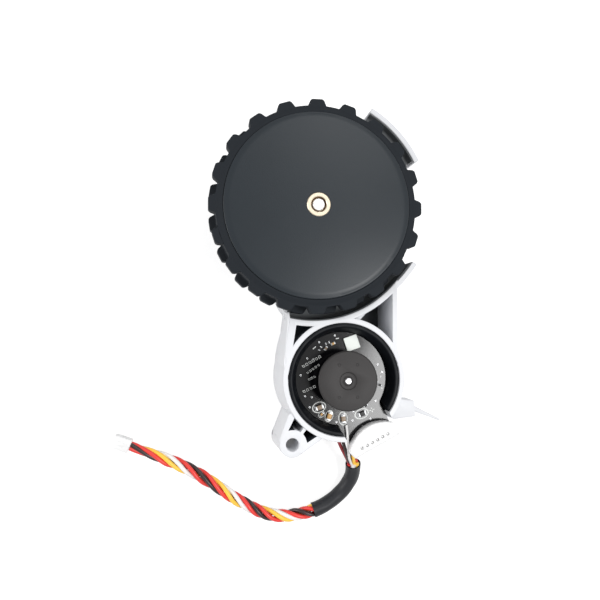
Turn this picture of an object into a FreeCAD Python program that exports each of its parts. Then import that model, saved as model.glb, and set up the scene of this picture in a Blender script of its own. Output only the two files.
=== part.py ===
import FreeCAD, Part
import math
import os

# Drive wheel module of a floor-cleaning robot, in millimetres, lying on its rear cover.
# The origin is the pivot bore's axis at the rear face, +Z runs out of the wheel's face.
# Motor axis and wheel axle stand side by side in one case, joined by three gear stages.

# Axes, measured from the pivot bore
wheel_x = 6.9
tyre_foot_y = 42.9
motor_x = 17.4
motor_y = 21.25

# Case heights above the rear face
cover_t = 2.4
chamber_top = 10.5
web_t = 2.0
rim_z = 21.0
ear_z = 20.0
wall = 2.0
fit_gap = 0.1

# Motor cup and its black base ring, both sized from the circuit board they hold
board_r = 15.8
board_gap = 0.2
base_ring_bore_r = board_r + board_gap
base_ring_r = base_ring_bore_r + 2.85
base_ring_h = 8.3
base_floor_t = 1.4
cup_r = base_ring_r + fit_gap
cup_rim_wall = 1.8
cup_draft = 1.0
cup_gap_floor = 14.7

# Wheel arch
arch_gap = 2.0
arch_t = 1.9
arch_from = -104.0
arch_to = -26.0
upper_arch_gap = 6.2
upper_arch_t = 1.9
upper_arch_from = 27.0
upper_arch_to = 60.0
upper_arch_z = 17.0
side_wall_t = 1.8

# Pivot ear
pivot_r = 2.2
pivot_boss_r = 4.3
pivot_boss_base_r = 5.0
ear_rib_t = 1.1

# Spring block and prong
prong_length = 16.5
prong_root = 2.6
prong_tip = 0.7
prong_t = 4.0

# Wheel and tyre
tip_r = 35.0
wheel_y = tyre_foot_y + tip_r
arch_r = tip_r + arch_gap
upper_arch_r = tip_r + upper_arch_gap
lug_h = 2.3
lug_count = 20
lug_base_w = 6.1
lug_top_w = 3.6
lug_len = 5.3
lug_lead = 0.9
lug_ease = 0.6
tyre_bottom = 14.0
tyre_w = 15.6
tyre_band = 2.5
face_r = tip_r - lug_h - tyre_band
face_z = 30.0
face_t = 1.6
dome_h = 0.8
rim_barrel_r = face_r - 1.6
rim_wall = 1.8
hub_back = 17.0
hub_boss_r = 7.0
hub_rib_t = 1.4
hub_rib_count = 6

# Wheel shaft, brass insert and bushes
shaft_r = 2.0
shaft_bottom = 1.2
shaft_top = 30.7
shaft_chamfer = 0.2
insert_r = 3.9
insert_bottom = 17.5
insert_top = 31.0
insert_mouth_r = 2.5
insert_mouth_depth = 1.4
bush_r = 4.0
bush_wall_h = 6.5
running_gap = 0.04
front_bush_top = 13.2
rear_bush_top = 5.0

# Gear train: teeth, module, face heights
motor_teeth = 12
first_big_teeth = 36
first_small_teeth = 18
second_big_teeth = 34
second_small_teeth = 14
output_teeth = 46
first_module = 0.5
last_module = 0.8
first_gear_angle = 109.5
second_gear_angle = -76.0
pressure_angle = 20.0
profile_shift = 0.35
backlash = 0.07
low_face_bottom = 3.2
low_face_top = 6.2
high_face_bottom = 7.0
high_face_top = 9.7
chamber_gap = 1.1
first_pin_r = 1.0
second_pin_r = 1.25
end_float = 0.15

# Motor
motor_shaft_r = 1.0
motor_shaft_top = 27.0
bearing_tube_r = 2.6
bearing_tube_top = 23.8
rotor_r = 9.85
rotor_skirt_r = 8.4
rotor_wall = 0.55
rotor_bottom = 17.4
rotor_top = 26.4
rotor_roof_t = 0.9
magnet_t = 1.2
air_gap = 0.4
stator_teeth = 9
stator_bottom = 18.6
stator_h = 4.2
stator_tooth_w = 1.3
coil_w = 2.2
foot_w = 3.2

# Circuit board and connector
board_top = 16.0
board_t = 1.0
board_hole_r = 3.2
tongue_angle = -63.0
tongue_w = 16.4
tongue_reach = 25.0
tongue_clearance = 0.4
connector_w = 17.2
connector_h = 4.4
connector_inner = 18.0
connector_outer = 25.3
connector_ways = 6
connector_pitch = 2.0

# Screws
screw_r = 1.0
screw_head_r = 1.9
screw_head_h = 1.3
screw_top = 9.0
head_recess = 1.6
motor_head_r = 1.7
motor_head_h = 1.0

# Harness
cord_d = 4.6
sleeve_d = 5.0
sleeve_from = 8.5
sleeve_to = 32.0
plug_l = 6.0
plug_w = 4.6
plug_h = 4.2
cord_route = [
    (20.8, -2.6, 12.6),
    (24.4, -9.8, 7.0),
    (22.6, -19.0, 2.5),
    (12.4, -26.8, 2.5),
    (-2.6, -29.2, 2.5),
    (-15.0, -23.8, 2.5),
    (-26.5, -15.2, 2.5),
    (-38.2, -8.2, 2.5),
    (-54.0, -2.2, 2.5),
]

web_top = chamber_top + web_t
tau = 2 * math.pi


def ray(x, y, angle, distance):
    """The point at a distance from x, y in the direction of an angle in degrees."""
    a = math.radians(angle)
    return x + distance * math.cos(a), y + distance * math.sin(a)


# Gear axes that follow from the wheel, the motor and the gear sizes
first_reach = first_module * (motor_teeth + first_big_teeth) / 2
last_reach = last_module * (second_small_teeth + output_teeth) / 2
first_x, first_y = ray(motor_x, motor_y, first_gear_angle, first_reach)
second_x, second_y = ray(wheel_x, wheel_y, second_gear_angle, last_reach)
middle_reach = math.hypot(first_x - second_x, first_y - second_y)
middle_module = 2 * middle_reach / (first_small_teeth + second_big_teeth)


def outside_r(teeth, module, shift):
    return teeth * module / 2 + module * (1 + shift)


first_room = outside_r(first_big_teeth, first_module, -profile_shift) + chamber_gap
second_room = outside_r(second_big_teeth, middle_module, -profile_shift) + chamber_gap
output_room = outside_r(output_teeth, last_module, -profile_shift) + chamber_gap
motor_room = 13.0


def cylinder(x, y, r, low, high):
    return Part.makeCylinder(r, high - low, FreeCAD.Vector(x, y, low))


def cone(x, y, r_low, r_high, low, high):
    return Part.makeCone(r_low, r_high, high - low, FreeCAD.Vector(x, y, low))


def ring(x, y, r_in, r_out, low, high):
    return cylinder(x, y, r_out, low, high).cut(cylinder(x, y, r_in, low - 1, high + 1))


def line(a, b):
    return Part.LineSegment(FreeCAD.Vector(*a), FreeCAD.Vector(*b)).toShape()


def arc(a, b, c):
    return Part.Arc(FreeCAD.Vector(*a), FreeCAD.Vector(*b), FreeCAD.Vector(*c)).toShape()


def face_of(edges):
    return Part.Face(Part.Wire(edges))


def prism(points, low, high):
    """A flat outline of x, y points, raised from low to high."""
    loop = [FreeCAD.Vector(x, y, low) for x, y in points]
    return Part.Face(Part.makePolygon(loop + loop[:1])).extrude(FreeCAD.Vector(0, 0, high - low))


def many_sided(x, y, r, sides, low, high):
    return prism([ray(x, y, 360.0 * i / sides, r) for i in range(sides)], low, high)


def turned(points, x, y):
    """A solid of revolution about the vertical axis at x, y, from radius, height points."""
    loop = [FreeCAD.Vector(r, 0, z) for r, z in points]
    section = Part.Face(Part.makePolygon(loop + loop[:1]))
    solid = section.revolve(FreeCAD.Vector(0, 0, 0), FreeCAD.Vector(0, 0, 1), 360)
    solid.translate(FreeCAD.Vector(x, y, 0))
    return solid


def sector(x, y, r_in, r_out, start, end, low, high):
    """Part of a ring wall between two angles in degrees."""
    middle = (start + end) / 2
    spots = [ray(x, y, a, r) + (low,) for a, r in (
        (start, r_out), (middle, r_out), (end, r_out), (end, r_in), (middle, r_in), (start, r_in))]
    edges = [
        arc(spots[0], spots[1], spots[2]),
        line(spots[2], spots[3]),
        arc(spots[3], spots[4], spots[5]),
        line(spots[5], spots[0]),
    ]
    return face_of(edges).extrude(FreeCAD.Vector(0, 0, high - low))


def box_at(x, y, angle, length, width, low, high):
    """A block centred on x, y, its length turned to an angle in degrees."""
    block = Part.makeBox(length, width, high - low, FreeCAD.Vector(-length / 2, -width / 2, low))
    block.rotate(FreeCAD.Vector(0, 0, 0), FreeCAD.Vector(0, 0, 1), angle)
    block.translate(FreeCAD.Vector(x, y, 0))
    return block


def from_wheel(points):
    return [(wheel_x + x, wheel_y + y) for x, y in points]


def joined(first, others):
    return first.multiFuse(others).removeSplitter()


# Gears
def gear(x, y, teeth, module, shift, phase, low, high):
    """Spur gear, each involute flank as two chords. Phase is one tooth's direction in degrees."""
    alpha = math.radians(pressure_angle)
    pitch_r = teeth * module / 2
    base_r = pitch_r * math.cos(alpha)
    tip = outside_r(teeth, module, shift)
    root = pitch_r - module * (1.25 - shift)
    half = (math.pi / 2 + 2 * shift * math.tan(alpha)) / teeth - backlash / (2 * pitch_r)

    def half_angle(r):
        if r <= base_r:
            return half + math.tan(alpha) - alpha
        a = math.acos(base_r / r)
        return half + math.tan(alpha) - alpha - math.tan(a) + a

    middle = (max(base_r, root) + tip) / 2
    start = math.radians(phase)

    def spot(r, angle):
        return x + r * math.cos(angle), y + r * math.sin(angle), low

    edges = []
    for i in range(teeth):
        centre = start + tau * i / teeth
        rise = [spot(r, centre - half_angle(r)) for r in (root, middle, tip)]
        fall = [spot(r, centre + half_angle(r)) for r in (tip, middle, root)]
        following = spot(root, centre + tau / teeth - half_angle(root))
        path = rise + fall + [following]
        edges += [line(a, b) for a, b in zip(path, path[1:])]
    return face_of(edges).extrude(FreeCAD.Vector(0, 0, high - low))


def heading(x1, y1, x2, y2):
    return math.degrees(math.atan2(y2 - y1, x2 - x1))


def gap_phase(teeth, angle):
    """Phase that turns a gap, not a tooth, to an angle."""
    return angle + 180.0 / teeth


def motor_pinion():
    toward = heading(motor_x, motor_y, first_x, first_y)
    pinion = gear(motor_x, motor_y, motor_teeth, first_module, profile_shift, toward,
                  high_face_bottom + 0.15, high_face_top + 0.2)
    return pinion.cut(cylinder(motor_x, motor_y, motor_shaft_r, 0, rim_z))


def compound_gear(x, y, big, small, bore_r, bottom, top):
    """A big and a small gear moulded in one piece, with a thrust collar at each end."""
    collar_r = bore_r + 1.1
    body = big.fuse(small)
    body = body.fuse(cylinder(x, y, collar_r, bottom, top))
    return body.cut(cylinder(x, y, bore_r + running_gap, bottom - 1, top + 1)).removeSplitter()


def first_gear():
    back = heading(first_x, first_y, motor_x, motor_y)
    onward = heading(first_x, first_y, second_x, second_y)
    big = gear(first_x, first_y, first_big_teeth, first_module, -profile_shift,
               gap_phase(first_big_teeth, back), high_face_bottom, high_face_top)
    small = gear(first_x, first_y, first_small_teeth, middle_module, profile_shift, onward,
                 low_face_bottom - 0.1, high_face_bottom)
    return compound_gear(first_x, first_y, big, small, first_pin_r,
                         cover_t + end_float, chamber_top - end_float)


def second_gear():
    back = heading(second_x, second_y, first_x, first_y)
    onward = heading(second_x, second_y, wheel_x, wheel_y)
    big = gear(second_x, second_y, second_big_teeth, middle_module, -profile_shift,
               gap_phase(second_big_teeth, back), low_face_bottom, low_face_top)
    small = gear(second_x, second_y, second_small_teeth, last_module, profile_shift, onward,
                 low_face_top, high_face_top)
    return compound_gear(second_x, second_y, big, small, second_pin_r,
                         cover_t + end_float, chamber_top - end_float)


def output_gear():
    back = heading(wheel_x, wheel_y, second_x, second_y)
    body = gear(wheel_x, wheel_y, output_teeth, last_module, -profile_shift,
                gap_phase(output_teeth, back), high_face_bottom, high_face_top)
    body = body.fuse(cylinder(wheel_x, wheel_y, shaft_r + 2.6, rear_bush_top + 0.4, high_face_top))
    return body.cut(cylinder(wheel_x, wheel_y, shaft_r, 0, rim_z)).removeSplitter()


# Screw places
def cover_screw_spots():
    spots = [ray(wheel_x, wheel_y, a, output_room + 2.6) for a in (150.0, 60.0, -10.0)]
    spots.append(ray(second_x, second_y, 186.0, second_room + 2.6))
    spots += [ray(motor_x, motor_y, a, motor_room + 3.2) for a in (196.0, -8.0)]
    return spots


def motor_screw_spots():
    away = heading(first_x, first_y, motor_x, motor_y)
    return [ray(motor_x, motor_y, away + turn, 10.0) for turn in (-75.0, 0.0, 75.0)]


# Case
def chamber(grow, low, high):
    """Room for the gear train, or the block round it where grow adds a wall."""
    rooms = [
        cylinder(wheel_x, wheel_y, output_room + grow, low, high),
        cylinder(second_x, second_y, second_room + grow, low, high),
        cylinder(first_x, first_y, first_room + grow, low, high),
        cylinder(motor_x, motor_y, motor_room + grow, low, high),
    ]
    return joined(rooms[0], rooms[1:])


def neck_outline():
    left_top = (-7.6, 4.0 - arch_r)
    left_low = (-9.6, -48.0)
    right_x = motor_x - wheel_x + cup_r - 0.45
    floor_y = motor_y - wheel_y
    return from_wheel([left_top, left_low, (-8.6, floor_y), (right_x, floor_y), (right_x, -20.0)])


def neck_pocket():
    right_x = motor_x - wheel_x + cup_r - 0.45 - side_wall_t
    floor_y = motor_y - wheel_y
    return from_wheel([(-5.0, 4.0 - arch_r), (-7.2, -48.0), (-7.0, floor_y), (right_x, floor_y),
                       (right_x, -20.0)])


ear_outline = [(-4.6, 1.6), (-1.4, 9.8), (8.0, 17.0), (17.0, 6.0), (9.6, 1.4), (3.2, -3.0)]
ear_pocket = [(-2.4, 2.6), (1.2, 9.8), (9.0, 16.0), (14.0, 6.0), (8.6, 2.9), (3.6, -0.2)]
block_outline = [(32.0, 17.0), (37.0, 13.6), (44.4, 12.8), (44.8, 7.2), (37.0, 6.4), (30.0, 9.0)]


def case_pockets(low, high):
    """The hollows beside the motor cup and in the ear, down to the rear cover."""
    keep = cylinder(wheel_x, wheel_y, arch_r + arch_t, low - 1, high + 1)
    keep = keep.fuse(cylinder(motor_x, motor_y, cup_r + cup_rim_wall, low - 1, high + 1))
    neck = prism(neck_pocket(), low, high).cut(keep)
    turn = heading(0, 0, motor_x, motor_y)
    rib = box_at(motor_x / 2, motor_y / 2, turn, math.hypot(motor_x, motor_y), ear_rib_t,
                 low - 1, high + 1)
    ear = prism(ear_pocket, low, high).cut(keep)
    ear = ear.cut(cylinder(0, 0, pivot_boss_r + 0.6, low - 1, high + 1)).cut(rib)
    return [neck, ear]


def cover_plate(grow):
    """Outline of the rear cover, set into the case by its own thickness."""
    inset = wall - 0.9
    plate = chamber(inset + grow, 0, cover_t)
    motor_disc = cylinder(motor_x, motor_y, cup_r + 0.6 + grow, 0, cover_t)
    parts = [motor_disc]
    for x, y in cover_screw_spots():
        parts.append(many_sided(x, y, screw_head_r + 1.0 + grow, 16, 0, cover_t))
    for points in (neck_pocket(), ear_pocket):
        loop = [FreeCAD.Vector(x, y, 0) for x, y in points]
        flat = Part.Face(Part.makePolygon(loop + loop[:1])).makeOffset2D(0.6 + grow)
        parts.append(flat.extrude(FreeCAD.Vector(0, 0, cover_t)))
    plate = joined(plate, parts)
    return plate.cut(cylinder(0, 0, pivot_boss_base_r - grow, -1, cover_t + 1))


def wheel_case():
    base_r = cup_r + cup_rim_wall + cup_draft
    body = chamber(wall, 0, web_top)
    extra = [
        cone(motor_x, motor_y, base_r, cup_r + cup_rim_wall, 0, rim_z),
        prism(neck_outline(), 0, rim_z),
        sector(wheel_x, wheel_y, arch_r, arch_r + arch_t, arch_from, arch_to, 0, rim_z),
        sector(wheel_x, wheel_y, output_room, arch_r + 0.5, arch_from, arch_to,
               chamber_top, web_top),
        sector(wheel_x, wheel_y, upper_arch_r, upper_arch_r + upper_arch_t,
               upper_arch_from, upper_arch_to, cover_t, upper_arch_z),
        sector(wheel_x, wheel_y, output_room, upper_arch_r + 0.5,
               upper_arch_from + 5, upper_arch_to - 5, chamber_top, web_top),
        cone(0, 0, pivot_boss_base_r, pivot_boss_r, 0, ear_z),
        prism(ear_outline, 0, ear_z),
        prism(block_outline, cover_t + 0.6, web_top),
    ]
    for x, y in cover_screw_spots():
        extra.append(many_sided(x, y, screw_head_r + 2.0, 16, 0, web_top))
    for angle in (upper_arch_from + 6, upper_arch_to - 6):
        x, y = ray(wheel_x, wheel_y, angle, (output_room + upper_arch_r) / 2)
        extra.append(box_at(x, y, angle, upper_arch_r - output_room, wall, cover_t, web_top))
    extra.append(prong())
    extra.append(box_at(10.6, 1.3, 25.0, 3.2, 1.6, cover_t, ear_z - 6))
    body = joined(body, extra)
    body = body.cut(case_pockets(-1, rim_z + 1)[0].cut(chamber(wall, -2, web_top)))
    body = body.cut(case_pockets(-1, rim_z + 1)[1])
    body = body.cut(cylinder(wheel_x, wheel_y, arch_r, web_top, rim_z + 1))
    body = body.cut(cylinder(motor_x, motor_y, cup_r, web_top, rim_z + 1))
    boss = cylinder(wheel_x, wheel_y, bush_wall_h, chamber_top, front_bush_top)
    body = body.fuse(boss)
    body = body.cut(chamber(0, -1, chamber_top))
    body = body.cut(cover_plate(fit_gap))
    return cut_case_holes(body)


def cut_case_holes(body):
    holes = [
        cylinder(0, 0, pivot_r, -1, ear_z + 1),
        cylinder(wheel_x, wheel_y, bush_r, chamber_top - 1, front_bush_top + 1),
        cylinder(motor_x, motor_y, bearing_tube_r, chamber_top - 1, web_top + 1),
        cylinder(first_x, first_y, first_pin_r, chamber_top - 1, chamber_top + 1.4),
        cylinder(second_x, second_y, second_pin_r, chamber_top - 1, chamber_top + 1.4),
        tongue_gap(),
    ]
    for x, y in cover_screw_spots():
        holes.append(many_sided(x, y, screw_r, 8, cover_t - 1, screw_top + 0.4))
    for x, y in motor_screw_spots():
        holes.append(many_sided(x, y, screw_r, 8, chamber_top - 1, web_top + 1))
    for hole in holes:
        body = body.cut(hole)
    return body.removeSplitter()


def prong():
    """Tapered prong on the spring block, for the end of the suspension spring."""
    x, y = 39.5, 12.2
    turn = -24.0
    half_root = prong_root / 2
    half_tip = prong_tip / 2
    flat = prism([(0, -half_root), (prong_length, -half_tip), (prong_length, half_tip),
                  (0, half_root)], 0, prong_t)
    flat.rotate(FreeCAD.Vector(0, 0, 0), FreeCAD.Vector(0, 0, 1), turn)
    flat.translate(FreeCAD.Vector(x, y, chamber_top - prong_t))
    return flat


def rear_cover():
    plate = cover_plate(0)
    bosses = [
        cylinder(wheel_x, wheel_y, bush_wall_h, cover_t - 0.5, rear_bush_top),
    ]
    plate = joined(plate, bosses)
    holes = [
        cylinder(wheel_x, wheel_y, bush_r, shaft_bottom - 0.2, rear_bush_top + 1),
        cylinder(first_x, first_y, first_pin_r, 1.0, cover_t + 1),
        cylinder(second_x, second_y, second_pin_r, 1.0, cover_t + 1),
    ]
    for x, y in cover_screw_spots():
        holes.append(many_sided(x, y, screw_r + 0.25, 8, -1, cover_t + 1))
        holes.append(many_sided(x, y, screw_head_r + 0.25, 16, -1, head_recess))
    for hole in holes:
        plate = plate.cut(hole)
    return plate.removeSplitter()


def screw(x, y, head_r, head_low, head_high, tip):
    """Plain screw: a round head and a shank, as many-sided blocks."""
    head = many_sided(x, y, head_r, 16, head_low, head_high)
    shank = many_sided(x, y, screw_r, 8, head_high, tip)
    return head.fuse(shank)


def case_screws():
    low = head_recess - screw_head_h
    return Part.makeCompound([
        screw(x, y, screw_head_r, low, head_recess, screw_top) for x, y in cover_screw_spots()])


def motor_screws():
    low = chamber_top - motor_head_h
    high = web_top + base_floor_t - 0.3
    return Part.makeCompound([
        screw(x, y, motor_head_r, low, chamber_top, high) for x, y in motor_screw_spots()])


# Wheel
def tyre():
    top = tyre_bottom + tyre_w
    root_r = tip_r - lug_h
    shelf = face_z - face_t
    drum = turned([
        (rim_barrel_r, tyre_bottom), (root_r - 1.2, tyre_bottom), (root_r, tyre_bottom + 1.0),
        (root_r, top - 1.1), (face_r + 0.6, top), (face_r, top), (face_r, shelf),
        (rim_barrel_r, shelf),
    ], wheel_x, wheel_y)
    front = top - lug_lead - lug_len
    rear = tyre_bottom + lug_lead
    half_pitch = 180.0 / lug_count
    return joined(drum, [lug_row(0.0, front), lug_row(half_pitch, rear)])


def lug_row(start, low):
    """One row of tread blocks round the tyre, each tapered with its corners eased."""
    root_r = tip_r - lug_h
    half_base = math.degrees(lug_base_w / 2 / root_r)
    half_top = math.degrees(lug_top_w / 2 / tip_r)
    half_ease = math.degrees((lug_top_w / 2 + lug_ease) / tip_r)
    section = [(-half_base, root_r), (-half_ease, tip_r - lug_ease), (-half_top, tip_r),
               (half_top, tip_r), (half_ease, tip_r - lug_ease), (half_base, root_r)]
    pitch = 360.0 / lug_count
    edges = []
    for i in range(lug_count):
        centre = start + pitch * i
        spots = [ray(wheel_x, wheel_y, centre + a, r) + (low,) for a, r in section]
        edges += [line(a, b) for a, b in zip(spots, spots[1:])]
        trough = ray(wheel_x, wheel_y, centre + pitch / 2, root_r) + (low,)
        following = ray(wheel_x, wheel_y, centre + pitch - half_base, root_r) + (low,)
        edges.append(arc(spots[-1], trough, following))
    row = face_of(edges).extrude(FreeCAD.Vector(0, 0, lug_len))
    return row.cut(cylinder(wheel_x, wheel_y, root_r - 0.8, low - 1, low + lug_len + 1))


def wheel_hub():
    """Moulded wheel: crowned face, plain back with shallow ribs, and a skirt under the tyre."""
    under = face_z - face_t
    inner_r = rim_barrel_r - rim_wall
    top = face_z + dome_h
    middle_r = (insert_r + face_r) / 2
    middle_z = face_z + dome_h * (1 - (middle_r / face_r) ** 2)
    body = turned([
        (insert_r, hub_back - 1.4), (hub_boss_r, hub_back - 1.4), (hub_boss_r, hub_back),
        (inner_r, hub_back), (inner_r, tyre_bottom), (rim_barrel_r, tyre_bottom),
        (rim_barrel_r, under), (face_r, under), (face_r, face_z), (middle_r, middle_z),
        (insert_r, top),
    ], wheel_x, wheel_y)
    seat = ring(wheel_x, wheel_y, shaft_r, insert_r + 0.1, hub_back - 1.4, insert_bottom)
    parts = [seat]
    middle = (hub_boss_r + inner_r) / 2
    for i in range(hub_rib_count):
        angle = 360.0 * i / hub_rib_count
        x, y = ray(wheel_x, wheel_y, angle, middle)
        parts.append(box_at(x, y, angle, inner_r - hub_boss_r + 0.6, hub_rib_t,
                            hub_back - 1.4, hub_back + 0.1))
    return joined(body, parts)


def hub_insert():
    mouth = insert_top - insert_mouth_depth
    return turned([
        (shaft_r, insert_bottom), (insert_r, insert_bottom), (insert_r, insert_top - 0.25),
        (insert_r - 0.25, insert_top), (insert_mouth_r + 0.2, insert_top),
        (insert_mouth_r, insert_top - 0.2), (insert_mouth_r, mouth), (shaft_r, mouth),
    ], wheel_x, wheel_y)


def wheel_shaft():
    body = turned([
        (0, shaft_bottom), (shaft_r - 0.3, shaft_bottom), (shaft_r, shaft_bottom + 0.3),
        (shaft_r, shaft_top - shaft_chamfer), (shaft_r - shaft_chamfer, shaft_top), (0, shaft_top),
    ], wheel_x, wheel_y)
    groove = ring(wheel_x, wheel_y, shaft_r - 0.4, shaft_r + 1, clip_low(), clip_low() + 0.5)
    return body.cut(groove)


def clip_low():
    return front_bush_top + 0.35


def shaft_clip():
    """Open retaining ring in the shaft's groove, above the front bush."""
    body = ring(wheel_x, wheel_y, shaft_r - 0.4, shaft_r + 1.2, clip_low(), clip_low() + 0.5)
    mouth = box_at(wheel_x + shaft_r, wheel_y, 0, 2 * shaft_r, 2.6, 0, rim_z)
    return body.cut(mouth)


def shaft_bush(low, high):
    return ring(wheel_x, wheel_y, shaft_r + running_gap, bush_r, low, high)


# Gear pins
def gear_pin(x, y, r):
    return cylinder(x, y, r, 1.0, chamber_top + 1.4)


# Motor
def motor_base():
    floor = web_top + base_floor_t
    top = web_top + base_ring_h
    body = turned([
        (bearing_tube_r, web_top), (base_ring_r, web_top), (base_ring_r, top),
        (base_ring_r - 1.3, top), (base_ring_bore_r, top - 3.0),
        (base_ring_bore_r, board_top - board_t), (base_ring_bore_r - 1.2, board_top - board_t),
        (base_ring_bore_r - 1.2, floor), (bearing_tube_r, floor),
    ], motor_x, motor_y)
    body = body.cut(tongue_gap())
    for x, y in motor_screw_spots():
        body = body.cut(many_sided(x, y, screw_r, 8, web_top - 1, floor - 0.3))
    return body


def bearing_tube():
    return ring(motor_x, motor_y, motor_shaft_r + running_gap, bearing_tube_r,
                chamber_top, bearing_tube_top)


def rotor_can():
    """Turned steel can: roof with a sunk ring round the shaft, skirt, and an inner hub."""
    under = rotor_top - rotor_roof_t
    return turned([
        (motor_shaft_r, bearing_tube_top + 0.5), (2.3, bearing_tube_top + 0.5), (2.3, under),
        (rotor_skirt_r - rotor_wall, under), (rotor_skirt_r - rotor_wall, rotor_bottom),
        (rotor_skirt_r, rotor_bottom), (rotor_skirt_r, under), (rotor_r, under),
        (rotor_r, rotor_top - 0.4), (rotor_r - 0.4, rotor_top), (2.9, rotor_top),
        (2.7, rotor_top - 0.35), (1.6, rotor_top - 0.35), (1.4, rotor_top - 0.1),
        (motor_shaft_r, rotor_top - 0.1),
    ], motor_x, motor_y)


def magnet_ring():
    outer = rotor_skirt_r - rotor_wall
    return ring(motor_x, motor_y, outer - magnet_t, outer, rotor_bottom + 0.4, rotor_top - 2.6)


def rotor_shaft():
    low = high_face_bottom - 1.0
    return turned([
        (0, low), (motor_shaft_r, low), (motor_shaft_r, motor_shaft_top - 0.25),
        (motor_shaft_r - 0.25, motor_shaft_top), (0, motor_shaft_top),
    ], motor_x, motor_y)


def stator_r():
    return rotor_skirt_r - rotor_wall - magnet_t - air_gap


def stator_core():
    """Laminated star: a hub on the bearing tube, and teeth with wide feet at the air gap."""
    high = stator_bottom + stator_h
    outer = stator_r()
    hub = cylinder(motor_x, motor_y, bearing_tube_r + 1.4, stator_bottom, high)
    step = 360.0 / stator_teeth
    parts = []
    for i in range(stator_teeth):
        angle = step * i
        x, y = ray(motor_x, motor_y, angle, outer / 2)
        parts.append(box_at(x, y, angle, outer - 0.6, stator_tooth_w, stator_bottom, high))
        x, y = ray(motor_x, motor_y, angle, outer - 0.65)
        parts.append(box_at(x, y, angle, 0.9, foot_w, stator_bottom, high))
    return joined(hub, parts).cut(cylinder(motor_x, motor_y, bearing_tube_r, 0, rotor_top))


def stator_windings():
    low = stator_bottom - 0.7
    high = stator_bottom + stator_h + 0.7
    start_r = bearing_tube_r + 1.9
    end_r = stator_r() - 1.1
    middle = (start_r + end_r) / 2
    coils = []
    for i in range(stator_teeth):
        angle = 360.0 * i / stator_teeth
        x, y = ray(motor_x, motor_y, angle, middle)
        block = box_at(x, y, angle, end_r - start_r, coil_w, low, high)
        tooth = box_at(x, y, angle, end_r, stator_tooth_w, stator_bottom, high - 0.7)
        coils.append(block.cut(tooth))
    return Part.makeCompound(coils)


# Circuit board
def on_tongue(along, across):
    """Position from the motor axis: along the tongue, and across it to the right."""
    x, y = ray(motor_x, motor_y, tongue_angle, along)
    return ray(x, y, tongue_angle + 90, across)


def tongue_gap():
    """Parallel-sided way out through ring and cup, for the board's tongue."""
    inner = base_ring_bore_r - 4.0
    x, y = on_tongue((inner + 30.0) / 2, 0)
    return box_at(x, y, tongue_angle, 30.0 - inner, tongue_w + 2 * tongue_clearance,
                  cup_gap_floor, rim_z + 1)


def board_flat():
    """The board's flat edge, on the side away from the tongue."""
    x, y = ray(motor_x, motor_y, 36.0, board_r - 1.4 + 5.0)
    return box_at(x, y, 36.0, 10.0, 30.0, 0, rim_z)


def motor_board():
    low = board_top - board_t
    half = tongue_w / 2
    disc = cylinder(motor_x, motor_y, board_r, low, board_top)
    tongue = prism([on_tongue(10.0, -half), on_tongue(tongue_reach - 0.6, -half),
                    on_tongue(tongue_reach - 0.6, half), on_tongue(10.0, half)], low, board_top)
    body = joined(disc, [tongue])
    body = body.cut(board_flat())
    return body.cut(cylinder(motor_x, motor_y, board_hole_r, 0, rim_z))


def board_connector():
    """White header on the tongue: straight mouth side, bowed back, a row of contact holes."""
    half = connector_w / 2
    low = board_top
    mid = [on_tongue(connector_inner, -1.6), on_tongue(connector_outer, half),
           on_tongue(connector_outer, -half)]
    left = on_tongue(connector_outer - 2.6, -half - 0.8)
    right = on_tongue(connector_inner + 3.0, half)
    edges = [
        line(right + (low,), mid[1] + (low,)),
        line(mid[1] + (low,), mid[2] + (low,)),
        line(mid[2] + (low,), left + (low,)),
        arc(left + (low,), mid[0] + (low,), right + (low,)),
    ]
    body = face_of(edges).extrude(FreeCAD.Vector(0, 0, connector_h))
    for i in range(connector_ways):
        x, y = contact_spot(i)
        body = body.cut(box_at(x, y, tongue_angle, 1.0, 1.0, low + 1.0, low + connector_h + 1))
    return body


def contact_spot(i):
    return on_tongue(connector_outer - 2.0, (i - (connector_ways - 1) / 2) * connector_pitch)


def connector_pins():
    low = board_top + 1.0
    return Part.makeCompound([
        box_at(*contact_spot(i), tongue_angle, 0.5, 0.5, low, low + connector_h - 1.8)
        for i in range(connector_ways)])


def board_blocks(spots, low, length, width, height):
    blocks = []
    for angle, r, turn in spots:
        x, y = ray(motor_x, motor_y, angle, r)
        blocks.append(box_at(x, y, turn, length, width, low, low + height))
    return Part.makeCompound(blocks)


pad_angle = 74.0
pad_reach = board_r - 3.2
pad_turn = 19.0
pad_side = 4.8
chip_side = 4.4
chip_t = 0.6
pad_t = 0.5
capacitor_size = (2.6, 1.5, 1.2)
resistor_size = (1.3, 0.8, 0.5)
capacitor_spots = [(-129.0, board_r - 3.4, 20.0), (-109.0, board_r - 2.4, 70.0),
                   (-88.0, board_r - 2.2, 95.0), (-60.0, board_r - 1.8, 20.0)]
resistor_spots = [(104.0, board_r - 3.6, 25.0), (112.0, board_r - 2.8, 25.0),
                  (118.0, board_r - 4.2, 60.0), (126.0, board_r - 3.2, 60.0),
                  (-10.0, board_r - 2.2, -30.0), (-4.0, board_r - 3.6, -30.0),
                  (-120.0, board_r - 1.9, 50.0), (-48.0, board_r - 3.2, 20.0)]


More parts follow.
